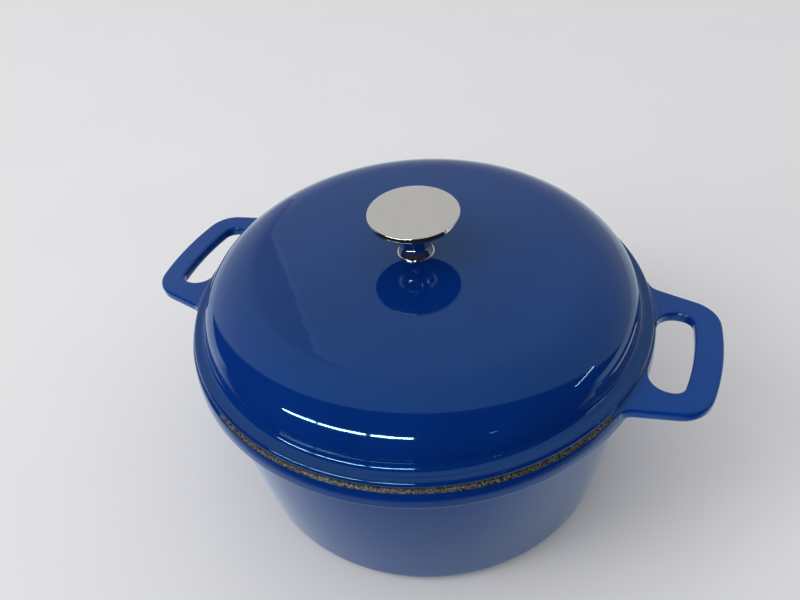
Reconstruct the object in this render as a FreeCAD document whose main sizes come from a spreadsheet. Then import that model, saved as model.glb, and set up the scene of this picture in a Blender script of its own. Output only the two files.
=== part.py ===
import FreeCAD, Part
import os
from enum import IntEnum
from math import asin, atan2, cos, degrees, hypot, radians, sin, sqrt, tan

import Sketcher
from FreeCAD import Placement, Rotation, Vector

# A round cast-iron Dutch oven: an enamelled pot with two loop handles, a domed lid that lifts off, and a
# steel knob held by a screw from under the lid. +Z is up, the handles lie along X, and the origin is at
# the middle of the flat base.

# Driving dimensions, in millimetres, with angles in degrees
DIMENSIONS = {
    # Pot wall, floor and rim band
    "pot_height": 123.0,
    "base_radius": 117.9,
    "base_corner_radius": 11.0,
    "neck_radius": 131.2,
    "neck_fillet_radius": 4.0,
    "wall_thickness": 4.0,
    "floor_thickness": 4.5,
    "floor_corner_radius": 14.0,
    "rim_overhang": 5.3,
    "rim_edge_radius": 3.0,
    "mouth_edge_radius": 1.2,
    "band_height": 13.0,
    "band_slope": 3.0,
    "band_edge_radius": 3.0,
    # Loop handles, cast in one with the pot
    "handle_drop": 1.3,
    "handle_thickness": 7.6,
    "handle_reach": 33.9,
    "handle_width": 86.8,
    "handle_corner_radius": 19.0,
    "handle_top_edge_radius": 1.6,
    "handle_under_edge_radius": 4.4,
    "grip_width": 14.5,
    "arm_width": 13.6,
    "arm_slant": 12.0,
    "gap_corner_radius": 7.0,
    "gap_root_radius": 11.0,
    "gap_inset": 0.5,
    "root_depth": 6.0,
    "root_flare_start": 6.0,
    "root_flare_radius": 12.0,
    "root_flare_angle": 40.0,
    # Lid: flange, crown, dome and the lip that centres it in the pot's mouth
    "flange_inset": 2.6,
    "flange_width": 8.6,
    "flange_thickness": 3.8,
    "flange_edge_radius": 2.2,
    "flange_foot_radius": 0.8,
    "crown_fillet_radius": 4.8,
    "crown_edge_radius": 18.0,
    "crown_height": 4.1,
    "shoulder_radius": 38.1,
    "dome_radius": 6000.0,
    "lid_rise": 33.2,
    "lid_thickness": 3.8,
    "lip_depth": 6.0,
    "lip_clearance": 1.0,
    "lip_edge_radius": 1.0,
    "boss_radius": 12.0,
    "boss_thickness": 7.0,
    "knob_seat_radius": 12.0,
    # Knob
    "knob_height": 27.7,
    "knob_radius": 26.2,
    "knob_side_lean": 0.75,
    "knob_top_edge_radius": 0.7,
    "knob_under_edge_radius": 1.1,
    "knob_disc_thickness": 3.4,
    "knob_disc_slope": 0.3,
    "stem_top_radius": 10.2,
    "stem_top_fillet_radius": 5.0,
    "stem_waist_radius": 7.6,
    "stem_waist_height": 7.0,
    "stem_curve_radius": 10.0,
    "stem_flare_radius": 8.2,
    "stem_flare_height": 2.4,
    "stem_flare_curve_radius": 3.5,
    "stem_foot_radius": 10.6,
    "stem_foot_height": 0.8,
    "stem_foot_edge_radius": 0.4,
    "tapped_depth": 14.0,
    "tapped_tip": 1.7,
    # Fixing screw and its washers
    "thread_radius": 3.0,
    "thread_clearance": 0.05,
    "lid_hole_clearance": 0.4,
    "washer_clearance": 0.2,
    "screw_length": 20.0,
    "screw_point": 0.6,
    "screw_head_radius": 5.8,
    "screw_head_height": 3.8,
    "screw_head_edge_radius": 1.8,
    "recess_length": 6.4,
    "recess_width": 1.4,
    "recess_depth": 2.2,
    "flat_washer_radius": 9.0,
    "flat_washer_thickness": 1.4,
    "spring_washer_radius": 5.9,
    "spring_washer_thickness": 1.6,
    "spring_washer_gap": 1.0,
    "spring_washer_slant": 0.8,
}

# Sizes that follow from the driving dimensions
RIM_RADIUS = "(Sizes.neck_radius + Sizes.rim_overhang)"
BAND_BOTTOM = "(Sizes.pot_height - Sizes.band_height)"
NECK_HEIGHT = "(Sizes.pot_height - Sizes.band_height - Sizes.band_slope)"
WALL_DRAFT = f"((Sizes.neck_radius - Sizes.base_radius) / {NECK_HEIGHT})"
MOUTH_RADIUS = f"(Sizes.base_radius + {WALL_DRAFT} * Sizes.pot_height - Sizes.wall_thickness)"
FLOOR_RADIUS = f"(Sizes.base_radius + {WALL_DRAFT} * Sizes.floor_thickness - Sizes.wall_thickness)"

HANDLE_BOTTOM = "(Sizes.pot_height - Sizes.handle_drop - Sizes.handle_thickness)"
HANDLE_RADIUS = f"({RIM_RADIUS} + Sizes.handle_reach)"
GRIP_INNER_RADIUS = f"({HANDLE_RADIUS} - Sizes.grip_width)"
GAP_INNER_RADIUS = f"({RIM_RADIUS} - Sizes.gap_inset)"
ROOT_RADIUS = f"({RIM_RADIUS} - Sizes.root_depth)"
HALF_WIDTH = "(Sizes.handle_width / 2)"
CORNER_Y = f"({HALF_WIDTH} - Sizes.handle_corner_radius)"
HALF_GAP = f"({HALF_WIDTH} - Sizes.arm_width)"
GAP_WIDTH = f"({GRIP_INNER_RADIUS} - {GAP_INNER_RADIUS})"
FLARE_X = f"(sqrt({RIM_RADIUS} ^ 2 - {HALF_WIDTH} ^ 2) + Sizes.root_flare_start)"

# The finger gap's corners are fillets, each limited to its share of the gap's width
CORNER_SHARE, ROOT_SHARE = 0.36, 0.55
GAP_CORNER_RADIUS = f"min(Sizes.gap_corner_radius; {CORNER_SHARE} * {GAP_WIDTH})"
GAP_ROOT_RADIUS = f"min(Sizes.gap_root_radius; {ROOT_SHARE} * {GAP_WIDTH})"

FLANGE_RADIUS = f"({RIM_RADIUS} - Sizes.flange_inset)"
CROWN_RADIUS = f"({FLANGE_RADIUS} - Sizes.flange_width)"
CROWN_EDGE_X = f"({CROWN_RADIUS} - Sizes.crown_edge_radius)"
FLANGE_TOP = "(Sizes.pot_height + Sizes.flange_thickness)"
CROWN_EDGE_Z = f"({FLANGE_TOP} + Sizes.crown_height)"
LIP_BOTTOM = "(Sizes.pot_height - Sizes.lip_depth)"
LIP_RADIUS = f"({MOUTH_RADIUS} - {WALL_DRAFT} * Sizes.lip_depth - Sizes.lip_clearance)"
LID_INNER_RADIUS = f"({CROWN_RADIUS} - Sizes.lid_thickness)"
LID_TOP = "(Sizes.pot_height + Sizes.lid_rise)"
BOSS_BOTTOM = f"({LID_TOP} - Sizes.boss_thickness)"
LID_HOLE_RADIUS = "(Sizes.thread_radius + Sizes.lid_hole_clearance)"

KNOB_TOP = f"({LID_TOP} + Sizes.knob_height)"
DISC_BOTTOM = f"({KNOB_TOP} - Sizes.knob_disc_thickness)"
STEM_TOP = f"({DISC_BOTTOM} - Sizes.knob_disc_slope)"
TAPPED_RADIUS = "(Sizes.thread_radius + Sizes.thread_clearance)"
TAPPED_END = f"({LID_TOP} + Sizes.tapped_depth)"

WASHER_HOLE_RADIUS = "(Sizes.thread_radius + Sizes.washer_clearance)"
FLAT_WASHER_BOTTOM = f"({BOSS_BOTTOM} - Sizes.flat_washer_thickness)"
SPRING_WASHER_BOTTOM = f"({FLAT_WASHER_BOTTOM} - Sizes.spring_washer_thickness)"
SCREW_HEAD_BOTTOM = f"({SPRING_WASHER_BOTTOM} - Sizes.screw_head_height)"
SCREW_TIP = f"({SPRING_WASHER_BOTTOM} + Sizes.screw_length)"

QUARTER_TURN = 90.0
HALF_TURN = 180.0
FULL_TURN = 360.0
TOLERANCE = 0.001


class Spot(IntEnum):
    """The points of a piece of sketch geometry, by their number in a constraint."""

    START = 1
    END = 2
    CENTRE = 3


class Axis(IntEnum):
    """The sketch's own axes, by their number in a constraint."""

    LEVEL = -1
    UPRIGHT = -2


START, END, CENTRE = Spot
X_AXIS, Y_AXIS = Axis
ORIGIN = (X_AXIS, START)


def make_sheet(doc):
    """Put the driving dimensions in a spreadsheet, each under its own alias."""
    sheet = doc.addObject("Spreadsheet::Sheet", "Sizes")
    for row, (alias, value) in enumerate(DIMENSIONS.items(), start=1):
        sheet.set(f"A{row}", alias)
        sheet.set(f"B{row}", str(value))
        sheet.setAlias(f"B{row}", alias)
    doc.recompute()


def read(expression):
    """Work out an expression of the sheet's aliases as a plain number."""
    return float(FreeCAD.ActiveDocument.getObject("Sizes").evalExpression(expression))


class Outline:
    """A sketch on one of a body's own planes, with its dimensions bound to the sheet."""

    def __init__(self, body, name, plane, height=None):
        self.sketch = body.newObject("Sketcher::SketchObject", name)
        support = [feature for feature in body.Origin.OriginFeatures if feature.Role == plane]
        self.sketch.AttachmentSupport = (support[0], [""])
        self.sketch.MapMode = "FlatFace"
        if height:
            self.sketch.setExpression("AttachmentOffset.Base.z", height)

    def line(self, start, end):
        return self.sketch.addGeometry(Part.LineSegment(Vector(*start), Vector(*end)), False)

    def arc(self, centre, radius, first, last):
        """Add an arc that runs counter-clockwise between two angles in degrees."""
        circle = Part.Circle(Vector(*centre), Vector(0, 0, 1), radius)
        if last < first:
            last += FULL_TURN
        return self.sketch.addGeometry(Part.ArcOfCircle(circle, radians(first), radians(last)), False)

    def circle(self, radius):
        """Add a circle of the given size about the sketch's origin."""
        index = self.sketch.addGeometry(Part.Circle(Vector(), Vector(0, 0, 1), read(radius)), False)
        self.tie("Coincident", (index, CENTRE), ORIGIN)
        self.size("Radius", radius, index)

    def tie(self, kind, *where):
        """Add a geometric constraint between points, given as pairs, or whole pieces of geometry."""
        arguments = []
        for item in where:
            arguments.extend(item if isinstance(item, tuple) else (item,))
        self.sketch.addConstraint(Sketcher.Constraint(kind, *arguments))

    def size(self, kind, expression, *where):
        """Add a dimension and bind it to an expression of the sheet's aliases."""
        arguments = []
        for item in where:
            arguments.extend(item if isinstance(item, tuple) else (item,))
        value = read(expression)
        if kind == "Angle":
            value = radians(value)
        index = self.sketch.addConstraint(Sketcher.Constraint(kind, *arguments, value))
        self.sketch.setExpression(f"Constraints[{index}]", expression)

    def place(self, point, x, y):
        """Hold a point at x and y, where None puts it on that axis."""
        if x is None:
            self.tie("PointOnObject", point, Y_AXIS)
        else:
            self.size("DistanceX", x, point)
        if y is None:
            self.tie("PointOnObject", point, X_AXIS)
        else:
            self.size("DistanceY", y, point)

    def polygon(self, corners):
        """Close an outline through corners of x, y and rounding radius, where None is on an axis or sharp."""
        points = [Vector(read(x) if x else 0, read(y) if y else 0) for x, y, rounding in corners]
        radii = [read(rounding) if rounding else 0 for x, y, rounding in corners]
        count = len(corners)
        ways = [(points[(i + 1) % count] - points[i]).normalize() for i in range(count)]
        turns = [atan2((ways[i - 1].cross(ways[i])).z, ways[i - 1].dot(ways[i])) for i in range(count)]
        trims = [radius * abs(tan(turn / 2)) for radius, turn in zip(radii, turns)]
        lines = []
        for i in range(count):
            after = (i + 1) % count
            lines.append(self.line(points[i] + ways[i] * trims[i], points[after] - ways[i] * trims[after]))
        for i, (x, y, rounding) in enumerate(corners):
            if rounding:
                start = points[i] - ways[i - 1] * trims[i]
                arc = self.round_corner(lines[i - 1], lines[i], start, ways[i - 1], radii[i], turns[i])
                self.size("Radius", rounding, arc)
                virtual = self.sketch.addGeometry(Part.Point(points[i]), True)
                self.tie("PointOnObject", (virtual, START), lines[i - 1])
                self.tie("PointOnObject", (virtual, START), lines[i])
                self.place((virtual, START), x, y)
            else:
                self.tie("Coincident", (lines[i - 1], END), (lines[i], START))
                self.place((lines[i], START), x, y)

    def round_corner(self, before, after, start, way, radius, turn):
        """Blend two lines with an arc that starts along the first one and turns left or right."""
        side = 1 if turn > 0 else -1
        inward = Vector(-way.y, way.x) * side
        centre = start + inward * radius
        first = degrees(atan2(-inward.y, -inward.x))
        last = first + degrees(turn)
        if turn > 0:
            arc = self.arc(centre, radius, first, last)
            self.tie("Tangent", (before, END), (arc, START))
            self.tie("Tangent", (arc, END), (after, START))
        else:
            arc = self.arc(centre, radius, last, first)
            self.tie("Tangent", (before, END), (arc, END))
            self.tie("Tangent", (arc, START), (after, START))
        return arc


def new_body(doc, label):
    body = doc.addObject("PartDesign::Body", label)
    body.Label = label
    return body


def revolve(body, outline):
    """Turn a sketch's outline once round its own upright axis."""
    feature = body.newObject("PartDesign::Revolution", f"{body.Label}_turned")
    feature.Profile = outline.sketch
    feature.ReferenceAxis = (outline.sketch, ["V_Axis"])
    feature.Angle = FULL_TURN


def pad(body, outline, length):
    feature = body.newObject("PartDesign::Pad", f"{body.Label}_pad")
    feature.Profile = outline.sketch
    feature.setExpression("Length", length)
    return feature


def pocket_upwards(body, outline, depth):
    """Cut a sketch's outline upwards into the body, and check that it took something away."""
    body.Document.recompute()
    volume_before = body.Shape.Volume
    feature = body.newObject("PartDesign::Pocket", f"{body.Label}_pocket")
    feature.Profile = outline.sketch
    feature.setExpression("Length", depth)
    feature.Reversed = True
    body.Document.recompute()
    if body.Shape.Volume >= volume_before - TOLERANCE:
        raise RuntimeError(f"{feature.Label} cut nothing")


def make_casting(doc):
    """The pot's wall, floor and thick rim band, turned from one closed profile."""
    body = new_body(doc, "pot_casting")
    profile = Outline(body, "pot_profile", "XZ_Plane")
    profile.polygon([
        (None, None, None),
        ("Sizes.base_radius", None, "Sizes.base_corner_radius"),
        ("Sizes.neck_radius", NECK_HEIGHT, "Sizes.neck_fillet_radius"),
        (RIM_RADIUS, BAND_BOTTOM, "Sizes.band_edge_radius"),
        (RIM_RADIUS, "Sizes.pot_height", "Sizes.rim_edge_radius"),
        (MOUTH_RADIUS, "Sizes.pot_height", "Sizes.mouth_edge_radius"),
        (FLOOR_RADIUS, "Sizes.floor_thickness", "Sizes.floor_corner_radius"),
        (None, "Sizes.floor_thickness", None),
    ])
    revolve(body, profile)
    return body


def draw_half_handle(body):
    """Half of a handle's plan: a grip concentric with the pot, and an arm that widens to a flared root."""
    plan = Outline(body, "handle_plan", "XY_Plane", HANDLE_BOTTOM)
    reach = read(HANDLE_RADIUS)
    grip_inner = read(GRIP_INNER_RADIUS)
    gap_inner = read(GAP_INNER_RADIUS)
    root = read(ROOT_RADIUS)
    half_gap = read(HALF_GAP)
    corner = read("Sizes.handle_corner_radius")
    slant = read("Sizes.arm_slant")
    gap_corner = read(GAP_CORNER_RADIUS)
    gap_root = read(GAP_ROOT_RADIUS)
    flare = read("Sizes.root_flare_radius")
    flare_angle = read("Sizes.root_flare_angle")
    flare_x = read(FLARE_X)

    # Outer edge: grip, corner, slanted arm, root flare and a straight run into the rim band
    corner_y = read(CORNER_Y)
    corner_x = sqrt((reach - corner) ** 2 - corner_y ** 2)
    corner_angle = degrees(atan2(corner_y, corner_x))
    outward = Vector(sin(radians(slant)), cos(radians(slant)))
    arm_start = Vector(corner_x, corner_y) + outward * corner
    arm_end = Vector(flare_x, arm_start.y + (arm_start.x - flare_x) * tan(radians(slant)))
    grip = plan.arc((0, 0), reach, 0, corner_angle)
    outer_corner = plan.arc((corner_x, corner_y), corner, corner_angle, QUARTER_TURN - slant)
    arm = plan.line(arm_start, arm_end)
    flare_centre = arm_end + outward * flare
    flare_arc = plan.arc(flare_centre, flare, -QUARTER_TURN - flare_angle, -QUARTER_TURN - slant)
    flare_end = flare_centre - Vector(sin(radians(flare_angle)), cos(radians(flare_angle))) * flare
    inward = Vector(-cos(radians(flare_angle)), sin(radians(flare_angle)))
    along = flare_end.dot(inward)
    run = -along - sqrt(along ** 2 - flare_end.dot(flare_end) + root ** 2)
    root_end = flare_end + inward * run
    root_line = plan.line(flare_end, root_end)
    root_arc = plan.arc((0, 0), root, 0, degrees(atan2(root_end.y, root_end.x)))

    # Finger gap: its inner edge lies inside the rim band, so that the band itself closes it
    near_y = half_gap - gap_root
    near_x = sqrt((gap_inner + gap_root) ** 2 - near_y ** 2)
    near_angle = degrees(atan2(near_y, near_x))
    far_y = half_gap - gap_corner
    far_x = sqrt((grip_inner - gap_corner) ** 2 - far_y ** 2)
    far_angle = degrees(atan2(far_y, far_x))
    strip = plan.line((root, 0), (gap_inner, 0))
    gap_near = plan.arc((0, 0), gap_inner, 0, near_angle)
    near_corner = plan.arc((near_x, near_y), gap_root, QUARTER_TURN, HALF_TURN + near_angle)
    gap_side = plan.line((near_x, half_gap), (far_x, half_gap))
    far_corner = plan.arc((far_x, far_y), gap_corner, far_angle, QUARTER_TURN)
    gap_far = plan.arc((0, 0), grip_inner, 0, far_angle)
    section = plan.line((grip_inner, 0), (reach, 0))

    for arc, radius in ((grip, HANDLE_RADIUS), (root_arc, ROOT_RADIUS),
                        (gap_near, GAP_INNER_RADIUS), (gap_far, GRIP_INNER_RADIUS)):
        plan.tie("Coincident", (arc, CENTRE), ORIGIN)
        plan.size("Radius", radius, arc)
    for arc, radius in ((outer_corner, "Sizes.handle_corner_radius"), (flare_arc, "Sizes.root_flare_radius"),
                        (near_corner, GAP_ROOT_RADIUS), (far_corner, GAP_CORNER_RADIUS)):
        plan.size("Radius", radius, arc)
    for first, second in (((grip, END), (outer_corner, START)), ((outer_corner, END), (arm, START)),
                          ((arm, END), (flare_arc, END)), ((flare_arc, START), (root_line, START)),
                          ((gap_near, END), (near_corner, END)), ((near_corner, START), (gap_side, START)),
                          ((gap_side, END), (far_corner, END)), ((far_corner, START), (gap_far, END))):
        plan.tie("Tangent", first, second)
    for first, second in (((root_line, END), (root_arc, END)), ((root_arc, START), (strip, START)),
                          ((strip, END), (gap_near, START)), ((gap_far, START), (section, START)),
                          ((section, END), (grip, START))):
        plan.tie("Coincident", first, second)
    for point in ((strip, START), (strip, END), (section, START), (section, END)):
        plan.tie("PointOnObject", point, X_AXIS)
    plan.tie("Horizontal", gap_side)
    plan.size("DistanceY", CORNER_Y, (outer_corner, CENTRE))
    plan.size("DistanceX", FLARE_X, (arm, END))
    plan.size("DistanceY", HALF_GAP, (gap_side, START))
    plan.size("Angle", f"({HALF_TURN} - Sizes.arm_slant)", arm)
    plan.size("Angle", f"({HALF_TURN} - Sizes.root_flare_angle)", root_line)
    return plan


def make_handle(doc, label, turn):
    """A flat cast loop with rounded edges, turned about the pot's axis to its side."""
    body = new_body(doc, label)
    half = pad(body, draw_half_handle(body), "Sizes.handle_thickness")
    mirror_plane = [feature for feature in body.Origin.OriginFeatures if feature.Role == "XZ_Plane"]
    whole = body.newObject("PartDesign::Mirrored", f"{label}_mirrored")
    whole.Originals = [half]
    whole.MirrorPlane = (mirror_plane[0], [""])
    body.Tip = whole
    doc.recompute()

    bottom = read(HANDLE_BOTTOM)
    top = bottom + read("Sizes.handle_thickness")
    under = round_level_edges(body, whole, bottom, f"{label}_under", "Sizes.handle_under_edge_radius")
    round_level_edges(body, under, top, f"{label}_top", "Sizes.handle_top_edge_radius")
    body.Placement = Placement(Vector(), Rotation(Vector(0, 0, 1), turn))
    return body


def round_level_edges(body, base, height, label, radius):
    """Round the edges that lie at one height of a handle, apart from those buried in the rim band."""
    root_radius = read(ROOT_RADIUS)
    level_edges = []
    for number, edge in enumerate(base.Shape.Edges, start=1):
        is_level = edge.BoundBox.ZLength < TOLERANCE and abs(edge.BoundBox.ZMin - height) < TOLERANCE
        reach = max(hypot(vertex.X, vertex.Y) for vertex in edge.Vertexes)
        if is_level and reach > root_radius + TOLERANCE:
            level_edges.append(f"Edge{number}")
    rounded = body.newObject("PartDesign::Fillet", label)
    rounded.Base = (base, level_edges)
    rounded.setExpression("Radius", radius)
    body.Document.recompute()
    return rounded


def make_pot(doc):
    """The whole pot: wall, floor, rim band and both handles are one casting."""
    pieces = [
        make_casting(doc),
        make_handle(doc, "handle_right", 0),
        make_handle(doc, "handle_left", HALF_TURN),
    ]
    pot = doc.addObject("Part::MultiFuse", "pot")
    pot.Label = "pot"
    pot.Shapes = pieces
    pot.Refine = True
    return pot


def make_lid(doc):
    """The lid, turned from one profile: flange, foot, crown, shoulder, low dome, lip and screw boss."""
    body = new_body(doc, "lid")
    profile = Outline(body, "lid_profile", "XZ_Plane")
    top = read(LID_TOP)
    dome = read("Sizes.dome_radius")
    seat_radius = read("Sizes.knob_seat_radius")
    shoulder = read("Sizes.shoulder_radius")
    crown = read("Sizes.crown_edge_radius")
    crown_x = read(CROWN_EDGE_X)
    crown_z = read(CROWN_EDGE_Z)
    thickness = read("Sizes.lid_thickness")
    foot = read("Sizes.crown_fillet_radius")
    flange_top = read(FLANGE_TOP)
    flange = read(FLANGE_RADIUS)
    edge = read("Sizes.flange_edge_radius")
    under_edge = read("Sizes.flange_foot_radius")
    seat = read("Sizes.pot_height")
    lip = read(LIP_RADIUS)
    lip_bottom = read(LIP_BOTTOM)
    lip_edge = read("Sizes.lip_edge_radius")
    inner = read(LID_INNER_RADIUS)
    boss = read("Sizes.boss_radius")
    boss_bottom = read(BOSS_BOTTOM)
    hole = read(LID_HOLE_RADIUS)

    # Where the dome, the shoulder, the crown's edge and the concave foot touch each other
    dome_z = top - sqrt(dome ** 2 - seat_radius ** 2)
    spread = hypot(crown_x, crown_z - dome_z)
    along = ((dome - shoulder) ** 2 - (shoulder - crown) ** 2 + spread ** 2) / (2 * spread)
    aside = sqrt((dome - shoulder) ** 2 - along ** 2)
    way = Vector(crown_x, crown_z - dome_z) / spread
    shoulder_x = way.x * along - way.y * aside
    shoulder_z = dome_z + way.y * along + way.x * aside
    shoulder_angle = degrees(atan2(shoulder_z - dome_z, shoulder_x))
    crown_angle = degrees(atan2(crown_z - shoulder_z, crown_x - shoulder_x))
    foot_z = flange_top + foot
    foot_angle = degrees(asin((foot_z - crown_z) / (crown + foot)))
    foot_x = crown_x + (crown + foot) * cos(radians(foot_angle))
    seat_angle = degrees(atan2(top - dome_z, seat_radius))
    inner_dome = dome - thickness
    boss_z = dome_z + sqrt(inner_dome ** 2 - boss ** 2)
    boss_angle = degrees(atan2(boss_z - dome_z, boss))

    # Outside, from the knob's seat down to the flange's edge
    knob_seat = profile.line((hole, top), (seat_radius, top))
    dome_arc = profile.arc((0, dome_z), dome, shoulder_angle, seat_angle)
    shoulder_arc = profile.arc((shoulder_x, shoulder_z), shoulder, crown_angle, shoulder_angle)
    crown_arc = profile.arc((crown_x, crown_z), crown, foot_angle, crown_angle)
    foot_arc = profile.arc((foot_x, foot_z), foot, HALF_TURN + foot_angle, HALF_TURN + QUARTER_TURN)
    flange_line = profile.line((foot_x, flange_top), (flange - edge, flange_top))
    edge_arc = profile.arc((flange - edge, flange_top - edge), edge, 0, QUARTER_TURN)
    edge_line = profile.line((flange, flange_top - edge), (flange, seat + under_edge))
    under_arc = profile.arc((flange - under_edge, seat + under_edge), under_edge, -QUARTER_TURN, 0)

    # Underside: the face that rests on the rim, the lip, the hollow and the boss
    rest_line = profile.line((flange - under_edge, seat), (lip, seat))
    lip_line = profile.line((lip, seat), (lip, lip_bottom + lip_edge))
    lip_arc = profile.arc((lip - lip_edge, lip_bottom + lip_edge), lip_edge, -QUARTER_TURN, 0)
    lip_base = profile.line((lip - lip_edge, lip_bottom), (inner + lip_edge, lip_bottom))
    inner_lip_arc = profile.arc((inner + lip_edge, lip_bottom + lip_edge), lip_edge,
                                HALF_TURN, HALF_TURN + QUARTER_TURN)
    inner_line = profile.line((inner, lip_bottom + lip_edge), (inner, crown_z))
    inner_crown = profile.arc((crown_x, crown_z), crown - thickness, 0, crown_angle)
    inner_shoulder = profile.arc((shoulder_x, shoulder_z), shoulder - thickness, crown_angle, shoulder_angle)
    inner_arc = profile.arc((0, dome_z), inner_dome, shoulder_angle, boss_angle)
    boss_line = profile.line((boss, boss_z), (boss, boss_bottom))
    boss_base = profile.line((boss, boss_bottom), (hole, boss_bottom))
    hole_line = profile.line((hole, boss_bottom), (hole, top))

    for first, second in (((dome_arc, START), (shoulder_arc, END)),
                          ((shoulder_arc, START), (crown_arc, END)), ((crown_arc, START), (foot_arc, START)),
                          ((foot_arc, END), (flange_line, START)), ((flange_line, END), (edge_arc, END)),
                          ((edge_arc, START), (edge_line, START)), ((edge_line, END), (under_arc, END)),
                          ((under_arc, START), (rest_line, START)), ((lip_line, END), (lip_arc, END)),
                          ((lip_arc, START), (lip_base, START)), ((lip_base, END), (inner_lip_arc, END)),
                          ((inner_lip_arc, START), (inner_line, START)),
                          ((inner_line, END), (inner_crown, START)),
                          ((inner_crown, END), (inner_shoulder, START)),
                          ((inner_shoulder, END), (inner_arc, START))):
        profile.tie("Tangent", first, second)
    for first, second in (((knob_seat, END), (dome_arc, END)), ((rest_line, END), (lip_line, START)),
                          ((inner_arc, END), (boss_line, START)), ((boss_line, END), (boss_base, START)),
                          ((boss_base, END), (hole_line, START)), ((hole_line, END), (knob_seat, START)),
                          ((inner_crown, CENTRE), (crown_arc, CENTRE)),
                          ((inner_shoulder, CENTRE), (shoulder_arc, CENTRE))):
        profile.tie("Coincident", first, second)
    for line in (knob_seat, flange_line, rest_line, lip_base, boss_base):
        profile.tie("Horizontal", line)
    for line in (edge_line, lip_line, inner_line, boss_line, hole_line):
        profile.tie("Vertical", line)
    for arc in (dome_arc, inner_arc):
        profile.tie("PointOnObject", (arc, CENTRE), Y_AXIS)
    for arc, radius in ((dome_arc, "Sizes.dome_radius"), (shoulder_arc, "Sizes.shoulder_radius"),
                        (crown_arc, "Sizes.crown_edge_radius"), (foot_arc, "Sizes.crown_fillet_radius"),
                        (edge_arc, "Sizes.flange_edge_radius"),
                        (under_arc, "Sizes.flange_foot_radius"), (lip_arc, "Sizes.lip_edge_radius"),
                        (inner_lip_arc, "Sizes.lip_edge_radius"),
                        (inner_arc, "(Sizes.dome_radius - Sizes.lid_thickness)")):
        profile.size("Radius", radius, arc)
    profile.place((knob_seat, END), "Sizes.knob_seat_radius", LID_TOP)
    profile.place((hole_line, START), LID_HOLE_RADIUS, BOSS_BOTTOM)
    profile.place((lip_line, START), LIP_RADIUS, "Sizes.pot_height")
    profile.place((crown_arc, CENTRE), CROWN_EDGE_X, CROWN_EDGE_Z)
    profile.size("DistanceX", FLANGE_RADIUS, (edge_line, START))
    profile.size("DistanceY", FLANGE_TOP, (flange_line, START))
    profile.size("DistanceY", LIP_BOTTOM, (lip_base, START))
    profile.size("DistanceX", LID_INNER_RADIUS, (inner_line, START))
    profile.size("DistanceX", "Sizes.boss_radius", (boss_line, END))
    revolve(body, profile)
    return body


def make_knob(doc):
    """A turned knob: a flat disc with a leaning side on a waisted stem, tapped from below for the screw."""
    body = new_body(doc, "knob")
    profile = Outline(body, "knob_profile", "XZ_Plane")
    flare_z = f"({LID_TOP} + Sizes.stem_flare_height)"
    waist_z = f"({LID_TOP} + Sizes.stem_waist_height)"
    profile.polygon([
        (TAPPED_RADIUS, LID_TOP, None),
        ("Sizes.stem_foot_radius", LID_TOP, "Sizes.stem_foot_edge_radius"),
        ("Sizes.stem_foot_radius", f"({LID_TOP} + Sizes.stem_foot_height)", None),
        ("Sizes.stem_flare_radius", flare_z, "Sizes.stem_flare_curve_radius"),
        ("Sizes.stem_waist_radius", waist_z, "Sizes.stem_curve_radius"),
        ("Sizes.stem_top_radius", STEM_TOP, "Sizes.stem_top_fillet_radius"),
        ("Sizes.knob_radius", DISC_BOTTOM, "Sizes.knob_under_edge_radius"),
        ("(Sizes.knob_radius - Sizes.knob_side_lean)", KNOB_TOP, "Sizes.knob_top_edge_radius"),
        (None, KNOB_TOP, None),
        (None, f"({TAPPED_END} + Sizes.tapped_tip)", None),
        (TAPPED_RADIUS, TAPPED_END, None),
    ])
    revolve(body, profile)
    return body


def make_screw(doc):
    """The screw that holds the knob: a pan head with a cross recess, and a plain shank for its thread."""
    body = new_body(doc, "knob_screw")
    point_radius = "(Sizes.thread_radius - Sizes.screw_point)"
    profile = Outline(body, "screw_profile", "XZ_Plane")
    profile.polygon([
        (None, SCREW_HEAD_BOTTOM, None),
        ("Sizes.screw_head_radius", SCREW_HEAD_BOTTOM, "Sizes.screw_head_edge_radius"),
        ("Sizes.screw_head_radius", SPRING_WASHER_BOTTOM, None),
        ("Sizes.thread_radius", SPRING_WASHER_BOTTOM, None),
        ("Sizes.thread_radius", f"({SCREW_TIP} - Sizes.screw_point)", None),
        (point_radius, SCREW_TIP, None),
        (None, SCREW_TIP, None),
    ])
    revolve(body, profile)
    for turn in ("length", "across"):
        draw_recess(body, turn)
    return body


def draw_recess(body, turn):
    """One slot of the cross recess, along X or across it."""
    half_length = "(Sizes.recess_length / 2)"
    half_width = "(Sizes.recess_width / 2)"
    across, along = (half_width, half_length) if turn == "length" else (half_length, half_width)
    plan = Outline(body, f"recess_{turn}", "XY_Plane", SCREW_HEAD_BOTTOM)
    left, right = -read(across), read(across)
    low, high = -read(along), read(along)
    bottom = plan.line((left, low), (right, low))
    side = plan.line((right, low), (right, high))
    top = plan.line((right, high), (left, high))
    back = plan.line((left, high), (left, low))
    sides = (bottom, side, top, back)
    for first, second in zip(sides, sides[1:] + sides[:1]):
        plan.tie("Coincident", (first, END), (second, START))
    plan.tie("Horizontal", bottom)
    plan.tie("Horizontal", top)
    plan.tie("Vertical", side)
    plan.tie("Vertical", back)
    plan.tie("Symmetric", (bottom, START), (top, START), ORIGIN)
    plan.place((side, END), across, along)
    pocket_upwards(body, plan, "Sizes.recess_depth")


def make_flat_washer(doc):
    body = new_body(doc, "flat_washer")
    plan = Outline(body, "flat_washer_plan", "XY_Plane", FLAT_WASHER_BOTTOM)
    plan.circle("Sizes.flat_washer_radius")
    plan.circle(WASHER_HOLE_RADIUS)
    pad(body, plan, "Sizes.flat_washer_thickness")
    return body


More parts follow.
